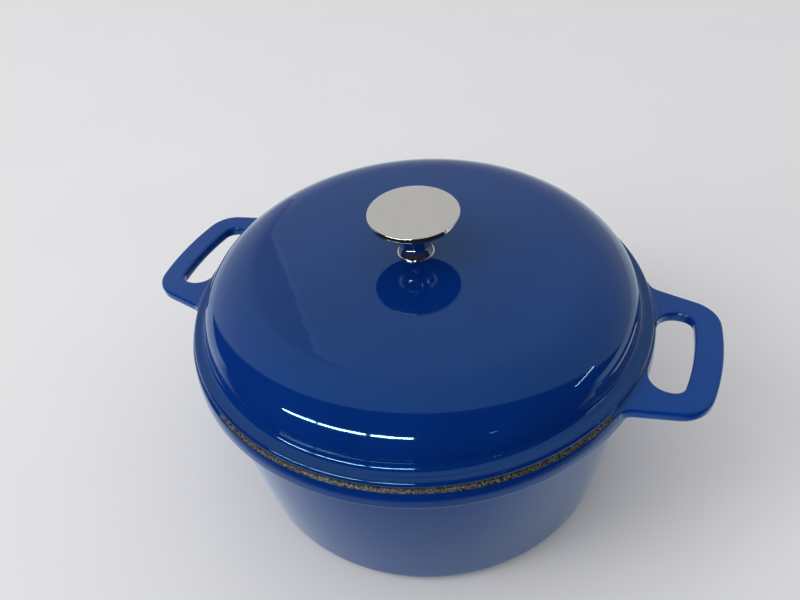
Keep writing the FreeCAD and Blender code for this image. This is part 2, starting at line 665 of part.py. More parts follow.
def make_spring_washer(doc):
    """A split lock washer, drawn as it lies when the screw has pressed it flat."""
    body = new_body(doc, "spring_washer")
    plan = Outline(body, "spring_washer_plan", "XY_Plane", SPRING_WASHER_BOTTOM)
    plan.circle("Sizes.spring_washer_radius")
    plan.circle(WASHER_HOLE_RADIUS)
    pad(body, plan, "Sizes.spring_washer_thickness")

    split = Outline(body, "split_plan", "XY_Plane", SPRING_WASHER_BOTTOM)
    inner = "(Sizes.thread_radius - Sizes.spring_washer_gap)"
    outer = "(Sizes.spring_washer_radius + Sizes.spring_washer_gap)"
    slanted = "(Sizes.spring_washer_gap + Sizes.spring_washer_slant)"
    split.polygon([
        (inner, None, None),
        (outer, "Sizes.spring_washer_slant", None),
        (outer, slanted, None),
        (inner, "Sizes.spring_washer_gap", None),
    ])
    pocket_upwards(body, split, "Sizes.spring_washer_thickness")
    return body


def check_document(doc, subparts):
    """Stop on any object that failed to build and on any sub-part that is empty or not valid."""
    for item in doc.Objects:
        if "Invalid" in item.State or "Error" in item.State:
            raise RuntimeError(f"{item.Label} failed: {item.State}")
    for subpart in subparts:
        if subpart.Shape.isNull() or not subpart.Shape.isValid():
            raise RuntimeError(f"{subpart.Label} has no valid shape")


def main():
    doc = FreeCAD.newDocument("dutch_oven")
    make_sheet(doc)
    subparts = [
        make_pot(doc),
        make_lid(doc),
        make_knob(doc),
        make_screw(doc),
        make_spring_washer(doc),
        make_flat_washer(doc),
    ]
    doc.recompute()
    check_document(doc, subparts)
    os.makedirs("parts", exist_ok=True)
    for subpart in subparts:
        subpart.Shape.exportStep(f"parts/{subpart.Label}.step")
        print(subpart.Label, len(subpart.Shape.Solids), "solid", round(subpart.Shape.Volume), "mm3")


main()
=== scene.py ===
"""Looks of a round enamelled cast-iron oven pot: two castings, a turned knob and the studio round them."""

import logging
import math
from dataclasses import dataclass
from enum import Enum, IntEnum
from functools import partial
from typing import Any, Callable, Optional, Sequence, Union

import bpy
import numpy as np
from mathutils import Matrix, Vector


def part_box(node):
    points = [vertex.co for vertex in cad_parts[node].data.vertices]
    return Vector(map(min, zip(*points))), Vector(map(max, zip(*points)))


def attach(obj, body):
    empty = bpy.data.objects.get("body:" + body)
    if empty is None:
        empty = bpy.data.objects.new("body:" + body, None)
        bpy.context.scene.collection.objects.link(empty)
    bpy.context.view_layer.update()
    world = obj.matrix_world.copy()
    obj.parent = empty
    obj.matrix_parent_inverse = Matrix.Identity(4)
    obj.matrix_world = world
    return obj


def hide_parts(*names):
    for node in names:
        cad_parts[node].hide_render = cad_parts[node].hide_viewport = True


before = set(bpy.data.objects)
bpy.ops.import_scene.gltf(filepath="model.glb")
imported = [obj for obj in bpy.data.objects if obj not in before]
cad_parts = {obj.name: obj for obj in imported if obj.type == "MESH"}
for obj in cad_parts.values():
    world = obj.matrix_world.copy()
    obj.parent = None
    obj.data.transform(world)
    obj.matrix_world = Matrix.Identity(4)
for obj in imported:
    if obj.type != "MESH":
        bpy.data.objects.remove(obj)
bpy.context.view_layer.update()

LOG = logging.getLogger("oven_pot")
MM = 0.001
PHOTO_WIDTH = 800
FULL_TURN = 2 * math.pi
QUARTER_TURN = math.pi / 2
SAME_POINT = 1e-6

Points = np.ndarray
Faces = list[list[int]]
Pair = tuple[float, float]
Spot = Union[Pair, Points]
Socket = bpy.types.NodeSocket
Material = bpy.types.Material
Piece = bpy.types.Object


class Coat(IntEnum):
    """Which of a casting's two enamels covers a face; the value is its material slot."""

    OUTSIDE = 0
    INSIDE = 1


class KnobZone(IntEnum):
    """How a face of the knob was finished; the value is its material slot."""

    SATIN = 0
    POLISHED = 1


class Side(Enum):
    """The two handles, each named by the turn about the pot's axis that brings it into place."""

    RIGHT = 0.0
    LEFT = math.pi


def linear(hex_colour: str) -> tuple[float, float, float, float]:
    """Turn an sRGB hex colour into linear light.

    Args:
        hex_colour: Six hex digits after a hash.

    Returns:
        Red, green, blue and alpha between 0 and 1.
    """
    parts = np.array([int(hex_colour[at:at + 2], 16) for at in (1, 3, 5)]) / 255
    light = np.where(parts <= 0.04045, parts / 12.92, ((parts + 0.055) / 1.055) ** 2.4)
    return (float(light[0]), float(light[1]), float(light[2]), 1.0)


def per_metre(size_mm: float) -> float:
    """Give the texture scale, in cells per metre, of a pattern whose cells are this wide."""
    return 1 / (size_mm * MM)


def cosine(degrees: float) -> float:
    """Give the cosine of an angle in degrees."""
    return math.cos(math.radians(degrees))


def add_node(tree: bpy.types.NodeTree, kind: str, inputs: Optional[dict] = None,
             output: Union[int, str] = 0, **settings: Any) -> Optional[Socket]:
    """Add one node, set its properties, and fill or connect its inputs.

    Args:
        tree: Node tree that takes the node.
        kind: Blender's name of the node type, without its first two words.
        inputs: Values, hex colours or output sockets, by input name or index.
        output: Name or index of the output to give.
        **settings: Properties of the node.

    Returns:
        That output, or nothing if the node has none.
    """
    made = tree.nodes.new("ShaderNode" + kind)
    for name, value in settings.items():
        setattr(made, name, value)
    for name, value in (inputs or {}).items():
        if isinstance(value, Socket):
            tree.links.new(value, made.inputs[name])
        else:
            made.inputs[name].default_value = linear(value) if isinstance(value, str) else value
    return made.outputs[output] if len(made.outputs) else None


def new_material(name: str) -> tuple[Material, Callable[..., Socket], Socket]:
    """Make an empty node material.

    Args:
        name: Name of the material.

    Returns:
        The material, add_node for its tree, and the Object coordinates that its patterns read.
    """
    material = bpy.data.materials.new(name)
    material.use_nodes = True
    material.node_tree.nodes.clear()
    add = partial(add_node, material.node_tree)
    return material, add, add("TexCoord", output="Object")


@dataclass(frozen=True)
class FiredEnamel:
    """Glass enamel fired on cast iron, run out over a matt gritty ground coat.

    The glass gives a deep even colour under a clear gloss, fuller where it pooled thickly on the handles,
    with a faint orange peel that makes reflected edges waver. Where the coat runs out, at the rim, the dark
    ground coat shows with glinting grit. The glaze was wiped further off the rim on one side of the pot.
    """

    name: str
    body: str
    deep: str
    pooled: str
    gloss_tint: str
    roughness: float = 0.045
    gloss: float = 0.5
    ior: float = 1.58
    cloud_size: float = 38.0
    peel_size: float = 6.5
    peel_depth: float = 0.012
    wave_size: float = 26.0
    wave_depth: float = 0.03
    ground_dark: str = "#0A0B0A"
    ground_pale: str = "#6A6C61"
    ground_gloss: float = 0.32
    ground_tint: str = "#FFFFFF"
    ground_roughness: float = 0.22
    ground_edge: Pair = (0.46, 0.54)
    grit_size: float = 1.3
    grit_depth: float = 0.45
    grit_range: Pair = (0.42, 0.72)
    ragged_size: float = 5.2
    ragged_reach: float = 0.9
    edge_shade: float = 0.16
    wiped_azimuth: float = -71.5
    wiped_full: float = 36.5
    wiped_none: float = 53.5
    wiped_less: float = 0.9

    def material(self) -> Material:
        """Build the node material.

        Returns:
            A material that reads the surface's bare, edge and pool attributes.
        """
        material, add, place = new_material(self.name)
        cloud, ragged, grit, peel, wave = (
            add("TexNoise", {"Vector": place, "Scale": per_metre(size), "Detail": detail, "Roughness": rough})
            for size, detail, rough in (
                (self.cloud_size, 3.0, 0.55), (self.ragged_size, 4.0, 0.7), (self.grit_size, 4.0, 0.65),
                (self.peel_size, 1.0, 0.5), (self.wave_size, 0.0, 0.5)))
        pool, edge, bare = (
            add("Attribute", output="Fac", attribute_name=name) for name in ("pool", "edge", "bare"))
        colour = add("Mix", {0: cloud, 6: self.deep, 7: self.body}, 2, data_type="RGBA")
        full = add("Mix", {0: pool, 6: colour, 7: self.pooled}, 2, data_type="RGBA")
        shade = add("Math", {0: edge, 1: self.edge_shade}, operation="MULTIPLY")
        thin = add("Mix", {0: shade, 6: full, 7: self.ground_dark}, 2, data_type="RGBA")

        spread = add("Math", {0: ragged, 1: self.ragged_reach, 2: -self.ragged_reach / 2},
                     operation="MULTIPLY_ADD")
        flat = add("VectorMath", {0: place, 1: (1, 1, 0)}, operation="MULTIPLY")
        bearing = add("VectorMath", {0: flat}, operation="NORMALIZE")
        wiped = math.radians(self.wiped_azimuth)
        towards = add("VectorMath", {0: bearing, 1: (math.cos(wiped), math.sin(wiped), 0)}, "Value",
                      operation="DOT_PRODUCT")
        kept = add("MapRange", {
            "Value": towards, "From Min": cosine(self.wiped_none), "From Max": cosine(self.wiped_full),
            "To Min": -self.wiped_less, "To Max": 0.0})
        ragged_edge = add("Math", {0: spread, 1: kept}, operation="ADD")
        reach = add("Math", {0: bare, 1: ragged_edge}, operation="ADD")
        ground, grains = (
            add("MapRange", {"Value": value, "From Min": start, "From Max": end})
            for value, (start, end) in ((reach, self.ground_edge), (grit, self.grit_range)))
        grit_colour = add("Mix", {0: grains, 6: self.ground_dark, 7: self.ground_pale}, 2, data_type="RGBA")
        seen = add("Mix", {0: ground, 6: thin, 7: grit_colour}, 2, data_type="RGBA")
        tint = add("Mix", {0: ground, 6: self.gloss_tint, 7: self.ground_tint}, 2, data_type="RGBA")
        rough = add("Mix", {0: ground, 2: self.roughness, 3: self.ground_roughness})
        gloss = add("Mix", {0: ground, 2: self.gloss, 3: self.ground_gloss})

        swell = add("Bump", {"Height": wave, "Distance": self.wave_depth * MM})
        skin = add("Bump", {"Height": peel, "Distance": self.peel_depth * MM, "Normal": swell})
        relief = add("Math", {0: grit, 1: ground}, operation="MULTIPLY")
        bump = add("Bump", {"Height": relief, "Distance": self.grit_depth * MM, "Normal": skin})
        shader = add("BsdfPrincipled", {
            "Base Color": seen, "Roughness": rough, "IOR": self.ior, "Specular IOR Level": gloss,
            "Specular Tint": tint, "Normal": bump})
        add("OutputMaterial", {"Surface": shader})
        return material


@dataclass(frozen=True)
class Steel:
    """Steel with a worked surface, stainless or zinc-plated.

    A satin face scatters the light evenly with faint clouds in it; a polished one mirrors its surroundings
    and only its finest marks soften the reflections.
    """

    name: str
    pale: str
    dark: str
    roughness: float
    roughness_spread: float
    cloud_size: float
    mark_size: float
    mark_depth: float

    def material(self) -> Material:
        """Build the node material."""
        material, add, place = new_material(self.name)
        cloud = add("TexNoise", {
            "Vector": place, "Scale": per_metre(self.cloud_size), "Detail": 4.0, "Roughness": 0.6})
        colour = add("Mix", {0: cloud, 6: self.dark, 7: self.pale}, 2, data_type="RGBA")
        rough = add("MapRange", {"Value": cloud, "To Min": self.roughness - self.roughness_spread,
                                 "To Max": self.roughness + self.roughness_spread})
        marks = add("TexNoise", {"Vector": place, "Scale": per_metre(self.mark_size), "Detail": 3.0})
        bump = add("Bump", {"Height": marks, "Distance": self.mark_depth * MM})
        shader = add("BsdfPrincipled", {
            "Base Color": colour, "Metallic": 1.0, "Roughness": rough, "Normal": bump})
        add("OutputMaterial", {"Surface": shader})
        return material


@dataclass(frozen=True)
class MattPaper:
    """A plain pale studio sheet: matt, with clouds too faint to read as a pattern.

    Glossy rays see a painted reflection colour instead of its own: a brighter, bluer white that is painted
    dark past the table's front edge, where the dark room would show, and painted somewhat shaded straight in
    front.
    """

    name: str = "matt_studio_sheet"
    pale: str = "#E9E9EA"
    dark: str = "#E4E4E6"
    # painted reflection: the sheet's colour as glossy rays see it, brighter and bluer than its own
    painted_reflection_colour: str = "#F0FCFF"
    # painted shade: the dark colour glossy rays see past the table's edge and, in part, straight in front
    room: str = "#161618"
    cloud_size: float = 160.0
    roughness: float = 0.9
    gloss: float = 0.2
    front_azimuth: float = -78.0
    table_side: float = 220.0
    table_front: float = 230.0
    edge_range: Pair = (0.95, 1.2)
    front_range: Pair = (0.0, 0.5)
    shade_range: Pair = (0.52, 0.75)
    facing_range: Pair = (0.55, 0.95)
    front_shade: float = 0.5

    def material(self) -> Material:
        """Build the node material."""
        material, add, place = new_material(self.name)
        cloud = add("TexNoise", {"Vector": place, "Scale": per_metre(self.cloud_size), "Detail": 2.0})
        colour = add("Mix", {0: cloud, 6: self.dark, 7: self.pale}, 2, data_type="RGBA")
        table = add("Mapping", {
            "Vector": place, "Rotation": (0, 0, math.radians(-self.front_azimuth)),
            "Scale": (per_metre(self.table_front), per_metre(self.table_side), 1)})
        reach = add("VectorMath", {0: table}, "Value", operation="LENGTH")
        ahead = add("SeparateXYZ", {0: table})
        facing = add("Math", {0: ahead, 1: reach}, operation="DIVIDE")
        beyond, front, outwards, shade = (
            add("MapRange", {"Value": value, "From Min": start, "From Max": end, "To Max": most})
            for value, (start, end), most in (
                (reach, self.edge_range, 1.0), (ahead, self.front_range, 1.0),
                (reach, self.shade_range, 1.0), (facing, self.facing_range, self.front_shade)))
        past_edge = add("Math", {0: beyond, 1: front}, operation="MULTIPLY")
        shaded = add("Math", {0: shade, 1: outwards}, operation="MULTIPLY")
        # how much painted shade glossy rays see: past the table's edge, or shaded straight in front
        painted_shade_share = add("Math", {0: past_edge, 1: shaded}, operation="MAXIMUM")
        painted_reflection_colour = add("Mix", {0: painted_shade_share, 6: self.painted_reflection_colour, 7: self.room}, 2, data_type="RGBA")
        glossy = add("LightPath", output="Is Glossy Ray")
        # glossy rays see the painted reflection colour, all other rays the sheet's own colour
        seen = add("Mix", {0: glossy, 6: colour, 7: painted_reflection_colour}, 2, data_type="RGBA")
        shader = add("BsdfPrincipled", {
            "Base Color": seen, "Roughness": self.roughness, "Specular IOR Level": self.gloss})
        add("OutputMaterial", {"Surface": shader})
        return material


# Finishes of the real pot: cobalt enamel outside, pale enamel inside, stainless knob, zinc-plated fixings
COBALT = FiredEnamel("cobalt_enamel_on_iron", body="#032C77", deep="#022465", pooled="#033587",
                     gloss_tint="#A4EEFF")
IVORY = FiredEnamel("ivory_enamel_on_iron", body="#E9E2D2", deep="#DCD3BF", pooled="#E9E2D2",
                    gloss_tint="#FFFFFF", roughness=0.09, edge_shade=0.05)
SATIN_STEEL = Steel("satin_stainless_steel", pale="#DAD9D5", dark="#CFCDC8", roughness=0.36,
                    roughness_spread=0.06, cloud_size=9.0, mark_size=0.5, mark_depth=0.006)
POLISHED_STEEL = Steel("polished_stainless_steel", pale="#DAD9D7", dark="#D2D1CF", roughness=0.07,
                       roughness_spread=0.02, cloud_size=14.0, mark_size=1.2, mark_depth=0.002)
PLATED_STEEL = Steel("zinc_plated_steel", pale="#C9CCCF", dark="#A9ACB0", roughness=0.27,
                     roughness_spread=0.08, cloud_size=2.5, mark_size=0.4, mark_depth=0.01)


class Profile:
    """An outline in a plane, drawn as lines and arcs that are sampled finely enough to look smooth."""

    line_step = 2.6
    arc_step = math.radians(6)
    least_steps = 3

    def __init__(self, slot: int = 0) -> None:
        """Start with no points.

        Args:
            slot: Material slot of the runs that come next.
        """
        self.slot = slot
        self.runs: list[Points] = []
        self.run_slots: list[int] = []

    def line(self, start: Spot, end: Spot) -> "Profile":
        """Add a straight run.

        Args:
            start: First point, in millimetres.
            end: Last point.

        Returns:
            This profile, so that calls can be chained.
        """
        first, last = np.array(start), np.array(end)
        steps = max(1, math.ceil(np.linalg.norm(last - first) / self.line_step))
        share = np.linspace(0, 1, steps + 1)[:, None]
        return self.add(first + share * (last - first))

    def arc(self, centre: Spot, radius: float, start: float, end: float) -> "Profile":
        """Add a circular run: centre plus radius times cosine and sine of the angle.

        Args:
            centre: Centre of the circle, in millimetres.
            radius: Its radius.
            start: First angle, in radians.
            end: Last angle.

        Returns:
            This profile.
        """
        by_angle = abs(end - start) / self.arc_step
        by_length = abs(end - start) * radius / self.line_step
        steps = max(self.least_steps, math.ceil(max(by_angle, by_length)))
        angle = np.linspace(start, end, steps + 1)
        return self.add(np.array(centre) + radius * np.stack([np.cos(angle), np.sin(angle)], axis=1))

    def add(self, run: Points) -> "Profile":
        """Keep one run of points with the slot that is set now, and return this profile."""
        self.runs.append(run)
        self.run_slots.append(self.slot)
        return self

    def coat(self, slot: int) -> "Profile":
        """Set the material slot of the runs that come next, and return this profile."""
        self.slot = slot
        return self

    def corners(self, corners: Sequence[tuple[float, float, float]]) -> "Profile":
        """Add an open polygon whose corners are rounded by tangent arcs.

        At a corner the arc's centre lies on the bisector, at radius over the sine of half the angle, and the
        runs touch the arc at radius over the tangent of half the angle from the corner.

        Args:
            corners: Points with their radii, the first and last unrounded.

        Returns:
            This profile.
        """
        at = np.array(corners[0][:2])
        for before, (x, y, radius), after in zip(corners, corners[1:], corners[2:]):
            corner = np.array((x, y))
            back, on = np.array(before[:2]) - corner, np.array(after[:2]) - corner
            back, on = back / np.linalg.norm(back), on / np.linalg.norm(on)
            half = math.acos(float(np.clip(back @ on, -1, 1))) / 2
            touch = corner + back * radius / math.tan(half)
            self.line(at, touch)
            at = corner + on * radius / math.tan(half)
            if radius > 0:
                middle = (back + on) / np.linalg.norm(back + on)
                centre = corner + middle * radius / math.sin(half)
                first = math.atan2(*(touch - centre)[::-1])
                turn = (math.atan2(*(at - centre)[::-1]) - first + math.pi) % FULL_TURN - math.pi
                self.arc(centre, radius, first, first + turn)
        return self.line(at, corners[-1][:2])

    def kept(self) -> np.ndarray:
        """Mark the points that differ from the next one; the last is kept unless it repeats the first."""
        joined = np.concatenate(self.runs)
        return np.linalg.norm(np.roll(joined, -1, axis=0) - joined, axis=1) > SAME_POINT

    def points(self) -> Points:
        """Join the runs, leaving out points that repeat, as rows of two coordinates."""
        return np.concatenate(self.runs)[self.kept()]

    def slots(self) -> np.ndarray:
        """Give the slot of the run that starts at each point."""
        return np.repeat(self.run_slots, [len(run) for run in self.runs])[self.kept()]


def skin(grid: Points, hubs: Sequence[Sequence[float]], flip: bool = False) -> tuple[Points, Faces]:
    """Join a grid of points that closes along its columns, and close its end rows onto hubs.

    Args:
        grid: Points in rows and columns.
        hubs: A point for the first row, and one for the last if it closes too; with none, last meets first.
        flip: Whether the faces turn the other way.

    Returns:
        Points with the hubs last, and faces: quads row by row, then the triangles round each hub.
    """
    rows, columns = grid.shape[:2]
    number = np.arange(rows * columns).reshape(rows, columns)
    beside = np.roll(number, -1, axis=1)
    quads = np.stack([number, beside, np.roll(beside, -1, axis=0), np.roll(number, -1, axis=0)], axis=-1)
    way = -1 if flip else 1
    faces = quads[:rows - 1 if len(hubs) else rows].reshape(-1, 4)[:, ::way].tolist()
    ends = ((beside[0], number[0]), (number[-1], beside[-1]))
    for hub, (first, second) in zip(range(rows * columns, rows * columns + len(hubs)), ends):
        faces += np.stack([first, second, np.full(columns, hub)], axis=1)[:, ::way].tolist()
    return np.concatenate([grid.reshape(-1, 3), np.reshape(hubs, (-1, 3))]), faces


@dataclass
class Surface:
    """Points in millimetres and the faces between them, with a value per point for each named attribute."""

    points: Points
    faces: Faces
    slots: np.ndarray
    attributes: dict[str, np.ndarray]

    def piece(self, name: str, materials: Sequence[Material], sharp: float = 35.0) -> Piece:
        """Put the surface into a mesh object at the origin.

        Args:
            name: Name of the piece.
            materials: Materials in the order of the faces' slots.
            sharp: Angle in degrees above which an edge stays crisp.

        Returns:
            The new object.
        """
        mesh = bpy.data.meshes.new(name)
        mesh.from_pydata((self.points * MM).tolist(), [], self.faces)
        for material in materials:
            mesh.materials.append(material)
        mesh.polygons.foreach_set("material_index", self.slots.astype(np.int32))
        for title, values in self.attributes.items():
            layer = mesh.attributes.new(title, "FLOAT", "POINT")
            layer.data.foreach_set("value", values.astype(np.float32))
        mesh.update()
        mesh.shade_smooth()
        mesh.set_sharp_from_angle(angle=math.radians(sharp))
        made = bpy.data.objects.new(name, mesh)
        bpy.context.collection.objects.link(made)
        return made


def rings(outline: Points, segments: int) -> Points:
    """Turn an outline's points about Z into rings: radius times cosine and sine of the turn, and height."""
    turn = np.linspace(0, FULL_TURN, segments, endpoint=False)
    radius, height = outline[:, :1], outline[:, 1:]
    return np.stack([radius * np.cos(turn), radius * np.sin(turn), height + 0 * turn], axis=-1)


def turned(outline: Points, segments: int, slots: np.ndarray, attributes: dict[str, np.ndarray],
           closed: bool) -> Surface:
    """Turn an outline about the Z axis into a surface.

    Args:
        outline: Radius and height of each point, running so that the surface faces outwards.
        segments: Steps round the axis.
        slots: Material slot of the run that starts at each outline point.
        attributes: Value at each outline point, by name.
        closed: Whether the outline is a ring clear of the axis; otherwise both ends lie on the axis.

    Returns:
        A closed surface.
    """
    body, tips, runs = outline, [], slots
    if not closed:
        body, tips, runs = outline[1:-1], [0, -1], np.concatenate([slots[1:-2], slots[[0, -2]]])
    points, faces = skin(rings(body, segments), [(0, 0, outline[tip, 1]) for tip in tips])
    spread = {name: np.concatenate([np.repeat(value if closed else value[1:-1], segments), value[tips]])
              for name, value in attributes.items()}
    return Surface(points, faces, np.repeat(runs, segments), spread)


def smooth_step(value: np.ndarray, start: float, end: float) -> np.ndarray:
    """Rise from 0 at start to 1 at end along 3t squared minus 2t cubed."""
    share = np.clip((value - start) / (end - start), 0, 1)
    return share * share * (3 - 2 * share)


def edge_amount(outline: Points, tight: float, closed: bool) -> np.ndarray:
    """Find how sharply an outline bends outwards at each point.

    The bend is the turn between neighbouring runs over their mean length; it counts as 1 from the tight
    radius on, and a hollow counts as 0.

    Args:
        outline: Points that run with the solid on one side.
        tight: Radius in millimetres at which the enamel is thinnest.
        closed: Whether the outline is a ring.

    Returns:
        A value between 0 and 1 per point.
    """
    wide = np.pad(outline, ((1, 1), (0, 0)), mode="wrap" if closed else "edge")
    back, on = np.diff(wide[:-1], axis=0), np.diff(wide[1:], axis=0)
    length = (np.linalg.norm(back, axis=1) + np.linalg.norm(on, axis=1)) / 2
    cross = back[:, 0] * on[:, 1] - back[:, 1] * on[:, 0]
    along = (back * on).sum(axis=1)
    bend = np.arctan2(cross, along) / np.maximum(length, SAME_POINT)
    return np.clip(bend * tight, 0, 1)


@dataclass
class PotCasting:
    """The pot with its rim band and two loop handles, one iron casting. Sizes in millimetres."""

    height: float
    rim_radius: float
    handle_radius: float
    base_radius: float = 117.9
    base_corner: float = 11.0
    neck_radius: float = 131.2
    neck_corner: float = 4.0
    band_height: float = 13.0
    band_slope: float = 3.0
    band_corner: float = 3.0
    band_upright: float = 5.0
    band_lean: float = 1.3
    band_curve: float = 30.0
    mouth_corner: float = 1.2
    wall: float = 4.0
    floor: float = 4.5
    floor_corner: float = 14.0
    bare_start: float = 2.3
    bare_end: float = 1.2
    rest_start: float = 0.2
    edge_radius: float = 3.0
    segments: int = 320
    handle_drop: float = 1.3
    handle_thickness: float = 7.6
    handle_top_edge: float = 1.6
    handle_under_edge: float = 3.2
    handle_width: float = 86.8
    handle_corner: float = 19.0
    grip_width: float = 14.5
    arm_width: float = 13.6
    arm_slant: float = 12.0
    gap_corner: float = 7.0
    gap_root: float = 11.0
    gap_inset: float = 0.5
    flare_radius: float = 9.0
    root_depth: float = 4.0
    root_fillet_top: float = 2.0
    root_fillet_under: float = 2.5
    grip_steps: int = 20
    corner_steps: int = 18
    arm_steps: int = 26
    edge_points: int = 11
    face_points: int = 9
    edge_thinning: float = 0.6
    pooling: float = 0.85

    def outline(self) -> Points:
        """Lay out the turned wall from the middle of the base, up outside, over the rim and down inside.

        The inner wall is the outer one moved inwards square to itself by the wall's thickness. The rim band
        stands upright below and leans in a little towards the rim.

        Returns:
            Radius and height of each point.
        """
        top, rim, base = self.height, self.rim_radius, self.base_radius
        band_low = top - self.band_height
        neck = band_low - self.band_slope
        draft = (self.neck_radius - base) / neck
        inset = self.wall * math.hypot(1, draft)
        mouth, hollow = (base + draft * level - inset for level in (top, self.floor))
        return Profile().corners([
            (0, 0, 0), (base, 0, self.base_corner), (self.neck_radius, neck, self.neck_corner),
            (rim, band_low, self.band_corner), (rim, band_low + self.band_upright, self.band_curve),
            (rim - self.band_lean, top, self.band_corner), (mouth, top, self.mouth_corner),
            (hollow, self.floor, self.floor_corner), (0, self.floor, 0)]).points()

    def build_shell(self, materials: Sequence[Material]) -> Piece:
        """Turn the wall, floor and rim band.

        Args:
            materials: Outside and inside enamel.

        Returns:
            The piece that stands for the pot's node.
        """
        outline = self.outline()
        bare = smooth_step(outline[:, 1], self.height - self.bare_start, self.height - self.bare_end)
        bare += smooth_step(outline[:, 1], self.height - self.rest_start, self.height)
        inside = np.cumsum(outline[:, 1] > self.height - SAME_POINT) > 1
        slots = np.where(inside, Coat.INSIDE, Coat.OUTSIDE)
        edge = edge_amount(outline, self.edge_radius, False)
        surface = turned(outline, self.segments, slots, {"bare": bare, "edge": edge}, False)
        return surface.piece("pot_shell", materials)

    def half_loops(self) -> tuple[list[Points], list[Points]]:
        """Draw the outer and inner plan of half a handle, from the middle of the grip to the root.

        Outside: grip arc about the pot's axis, corner arc, arm that widens by its slant, and a hollow flare
        that runs into the rim. Inside: grip arc, corner arc, and the rounded root of the finger gap.

        Returns:
            Matching runs of the outer and of the inner line.
        """
        slant, half = math.radians(self.arm_slant), self.handle_width / 2
        gap, grip = half - self.arm_width, self.handle_radius - self.grip_width
        sunk = self.rim_radius - self.gap_inset
        corner, far, near = (np.array([math.sqrt(reach ** 2 - y ** 2), y]) for reach, y in (
            (self.handle_radius - self.handle_corner, half - self.handle_corner),
            (grip - self.gap_corner, gap - self.gap_corner), (sunk + self.gap_root, gap - self.gap_root)))
        normal = np.array([math.sin(slant), math.cos(slant)])
        along = np.array([math.cos(slant), -math.sin(slant)])
        flare_up = corner @ normal + self.handle_corner + self.flare_radius
        flare = flare_up * normal + math.sqrt((sunk + self.flare_radius) ** 2 - flare_up ** 2) * along
        arm_start, arm_end = corner + self.handle_corner * normal, flare - self.flare_radius * normal
        corner_turn, far_turn, near_turn, flare_turn = (
            math.atan2(y, x) for x, y in (corner, far, near, flare))

        outer = [Profile().arc((0, 0), self.handle_radius, 0, corner_turn),
                 Profile().arc(corner, self.handle_corner, corner_turn, QUARTER_TURN - slant),
                 Profile().line(arm_start, arm_end).arc(
                     flare, self.flare_radius, -QUARTER_TURN - slant, flare_turn - math.pi)]
        inner = [Profile().arc((0, 0), grip, 0, far_turn),
                 Profile().arc(far, self.gap_corner, far_turn, QUARTER_TURN),
                 Profile().line((far[0], gap), (near[0], gap)).arc(
                     near, self.gap_root, QUARTER_TURN, math.pi + near_turn)]
        return [run.points() for run in outer], [run.points() for run in inner]

    def loop_line(self, runs: Sequence[Points]) -> Points:
        """Space one plan line evenly by length within each run, and mirror it into a whole loop.

        Args:
            runs: Runs of half the line, from the middle of the grip to the root.

        Returns:
            Points from root to root, both ends carried on into the rim's metal.
        """
        spaced = []
        for run, steps in zip(runs, (self.grip_steps, self.corner_steps, self.arm_steps)):
            length = np.concatenate([[0], np.cumsum(np.linalg.norm(np.diff(run, axis=0), axis=1))])
            at = np.linspace(0, length[-1], steps + 1)
            spaced.append(np.stack([np.interp(at, length, run[:, axis]) for axis in (0, 1)], axis=1)[1:])
        end = spaced[-1][-1]
        sunk = end * (1 - self.root_depth / np.linalg.norm(end))
        half = np.concatenate([runs[0][:1], *spaced, [sunk]])
        return np.concatenate([half[:0:-1] * (1, -1), half])

    def section(self) -> tuple[np.ndarray, np.ndarray, np.ndarray]:
        """Lay out the handle's section, a bar with crisp edges above and well rounded ones below.

        A point lies at a share of the bar's width plus an offset from its inner side, at a height: the
        rounded edges keep their radius whatever the width.

        Returns:
            Shares of the width, offsets and heights about the bar's middle, running round the bar.
        """
        half = self.handle_thickness / 2
        bend = np.linspace(0, QUARTER_TURN, self.edge_points)
        flat = np.linspace(0, 1, self.face_points)[1:-1]
        (top, top_in, top_up), (under, under_in, under_up) = (
            (edge, edge * (1 - np.cos(bend)), half - edge + edge * np.sin(bend))
            for edge in (self.handle_top_edge, self.handle_under_edge))
        one, nought = np.ones_like(bend), np.zeros_like(bend)
        share = np.concatenate([one, 1 - flat, nought, nought, flat, one])
        offset = np.concatenate([-top_in, top * (2 * flat - 1), top_in[::-1],
                                 under_in, under * (1 - 2 * flat), -under_in[::-1]])
        height = np.concatenate([top_up, np.full_like(flat, half), top_up[::-1],
                                 -under_up, np.full_like(flat, -half), -under_up[::-1]])
        return share, offset, height

    def root_rise(self, radius: np.ndarray, fillet: float, height: float) -> np.ndarray:
        """Widen the bar where it runs into the rim band, along a fillet that touches bar and band.

        The fillet's circle stands on the bar's face and touches the band's rounded edge from outside.

        Args:
            radius: Distance of each point from the pot's axis.
            fillet: Radius of the fillet.
            height: Height of the bar's face above the band edge's centre, towards the fillet.

        Returns:
            How far each point moves away from the bar's middle.
        """
        band_centre = self.rim_radius - self.band_corner
        up = height + fillet
        middle = band_centre + math.sqrt((self.band_corner + fillet) ** 2 - up ** 2)
        touch = band_centre + (middle - band_centre) * self.band_corner / (self.band_corner + fillet)
        reach = np.clip(middle - np.maximum(radius, touch), 0, fillet)
        return fillet - np.sqrt(fillet ** 2 - reach ** 2)

